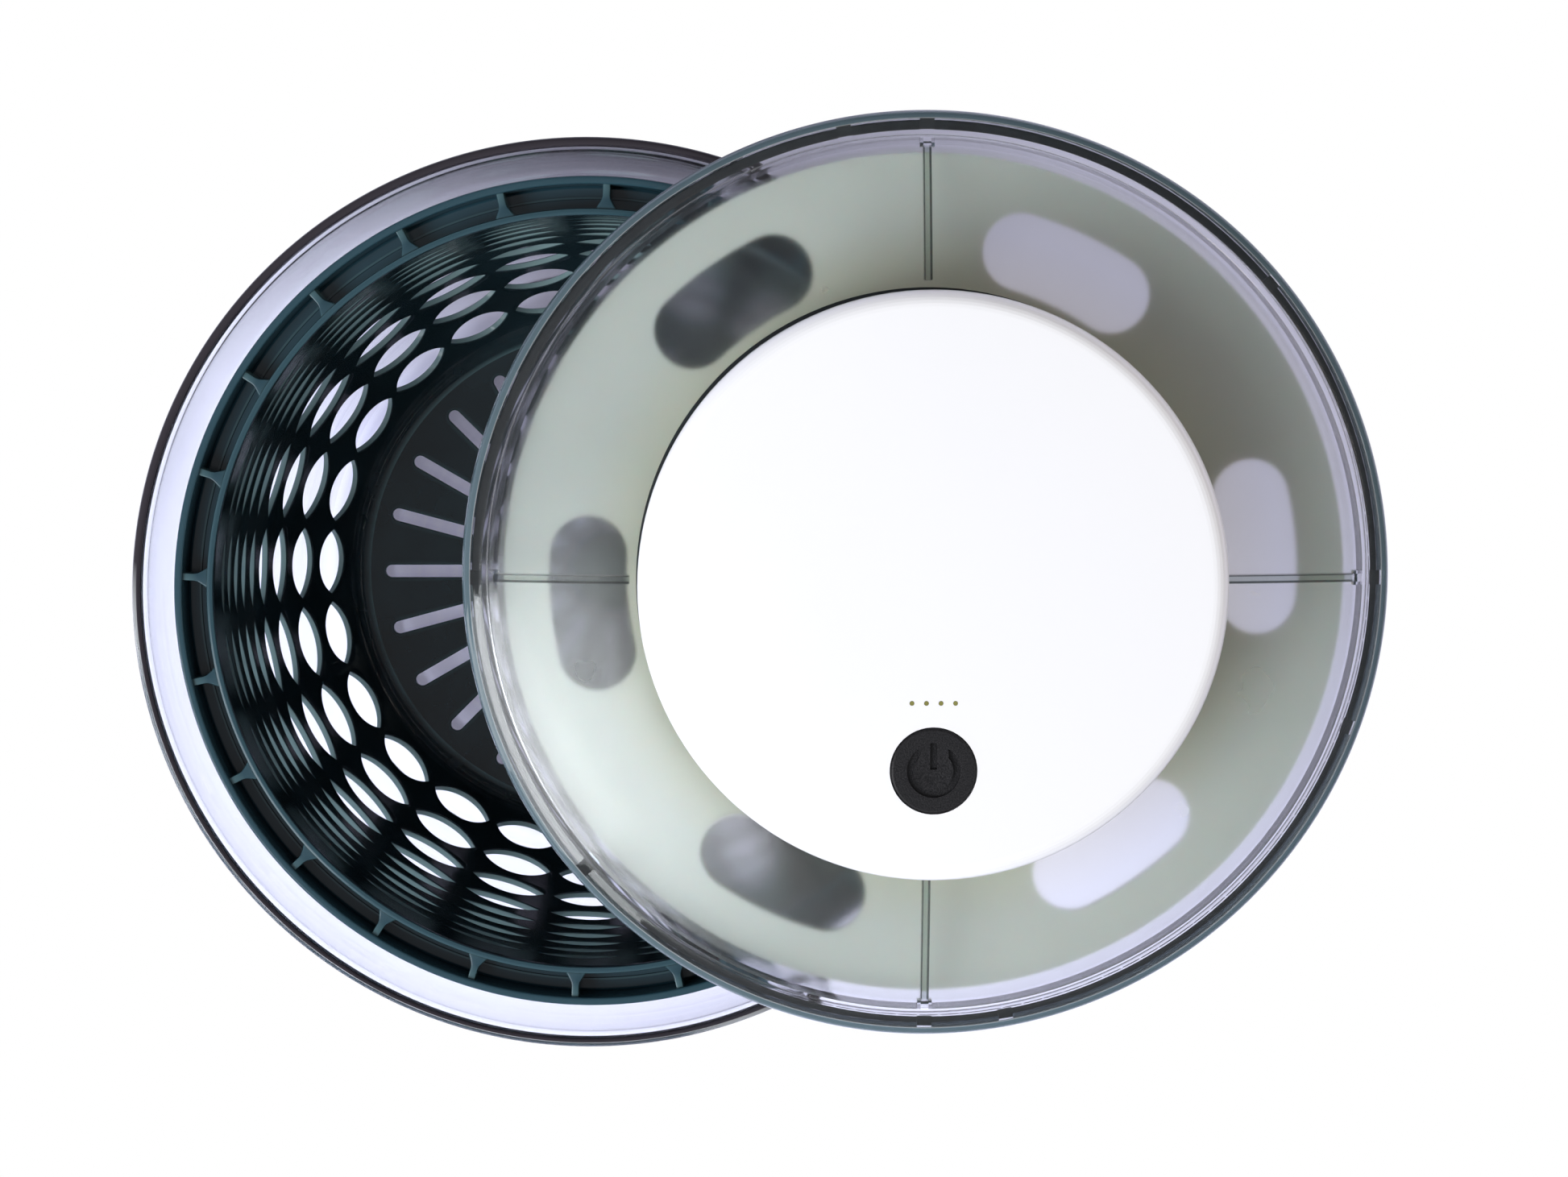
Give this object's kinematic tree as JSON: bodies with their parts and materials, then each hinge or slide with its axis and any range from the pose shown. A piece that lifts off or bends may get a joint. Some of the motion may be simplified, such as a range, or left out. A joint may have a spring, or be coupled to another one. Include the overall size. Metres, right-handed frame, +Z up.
{
  "type": "salad spinner",
  "caption": "Battery-driven salad spinner: clear bowl, slotted basket on a pivot, and a smoked lid with drive disc, gear train, motor housing and power button, lying off-centre on the rim.",
  "frame": {"origin": "on the bowl's axis, in the plane that the non-slip ring stands on", "axes": "+Z up along the bowl's axis; +X to the right, towards the side where the lid overhangs; -Y towards the button and the charging port"},
  "size_m": [0.3508, 0.2638, 0.195],
  "materials": {
    "clear_plastic": "clear, polished",
    "dark_plastic": "petrol grey, glossy",
    "smoked_plastic": "smoked, clear edge and frosted top",
    "milky_plastic": "milky, satin",
    "white_plastic": "white, glossy",
    "black_plastic": "black, fine texture",
    "seal_rubber": "black, matt",
    "foot_rubber": "dark grey, matt",
    "steel": "bright",
    "plate_aluminium": "satin",
    "brass": "plain",
    "gear_plastic": "natural acetal",
    "cell_wrap": "blue sleeve",
    "board_green": "solder mask",
    "light_clear": "olive clear"
  },
  "bodies": {
    "bowl_body": {"bowl": "clear_plastic", "foot_ring": "foot_rubber"},
    "basket_body": {"basket_rim": "dark_plastic", "basket_wall": "dark_plastic", "basket_floor": "dark_plastic"},
    "lid_body": {"lid_shell": "smoked_plastic", "lid_gasket": "seal_rubber", "housing_seal": "seal_rubber", "housing_base": "white_plastic", "housing_cover": "white_plastic", "housing_screws": "steel", "gearbox_plate": "plate_aluminium", "gearbox_screws": "steel", "lower_bearing": "steel", "upper_bearing": "steel", "idler_axle": "steel", "motor_can": "steel", "motor_screws": "steel", "battery_cell_left": "cell_wrap", "battery_cell_right": "cell_wrap", "battery_cradles": "black_plastic", "circuit_board": "board_green", "board_parts": "black_plastic", "board_screws": "steel", "tactile_switch": "black_plastic", "led_chips": "light_clear", "light_guide": "light_clear", "charge_board": "board_green", "charge_port": "steel"},
    "drive_body": {"drive_disc": "milky_plastic", "output_shaft": "steel", "output_gear": "gear_plastic", "disc_screw": "steel"},
    "idler_body": {"idler_gear": "gear_plastic"},
    "motor_rotor": {"motor_shaft": "steel", "motor_pinion": "brass"},
    "button_body": {"power_button": "black_plastic"},
    "port_cover_body": {"port_cover": "white_plastic"}
  },
  "joints": [
    {"name": "basket_spin", "type": "hinge", "parent": "bowl_body", "child": "basket_body", "pos_m": [0, 0, 0.02], "axis": [0, 0, 1], "continuous": true},
    {"name": "lid_lift", "type": "slide", "parent": "bowl_body", "child": "lid_body", "axis": [-0.684, -0.0509, 0.7277], "range_m": [0, 0.1374]},
    {"name": "drive_spin", "type": "hinge", "parent": "lid_body", "child": "drive_body", "pos_m": [0.094, 0.007, 0.1421], "axis": [0, 0, 1], "continuous": true},
    {"name": "idler_spin", "type": "hinge", "parent": "lid_body", "child": "idler_body", "pos_m": [0.094, 0.03515, 0.1521], "axis": [0, 0, 1], "continuous": true},
    {"name": "motor_spin", "type": "hinge", "parent": "lid_body", "child": "motor_rotor", "pos_m": [0.11214, 0.04562, 0.1521], "axis": [0, 0, 1], "continuous": true},
    {"name": "button_press", "type": "slide", "parent": "lid_body", "child": "button_body", "axis": [0, 0, -1], "range_m": [0, 0.0008], "stiffness_N_per_m": 600, "springref_m": -0.001},
    {"name": "port_cover_hinge", "type": "hinge", "parent": "lid_body", "child": "port_cover_body", "pos_m": [0.094, -0.0707, 0.1712], "axis": [1, 0, 0], "range_deg": [0, 110]}
  ],
  "couplings": [
    {"joint": "idler_spin", "follows": "drive_spin", "ratio": -3},
    {"joint": "motor_spin", "follows": "drive_spin", "ratio": 10}
  ]
}
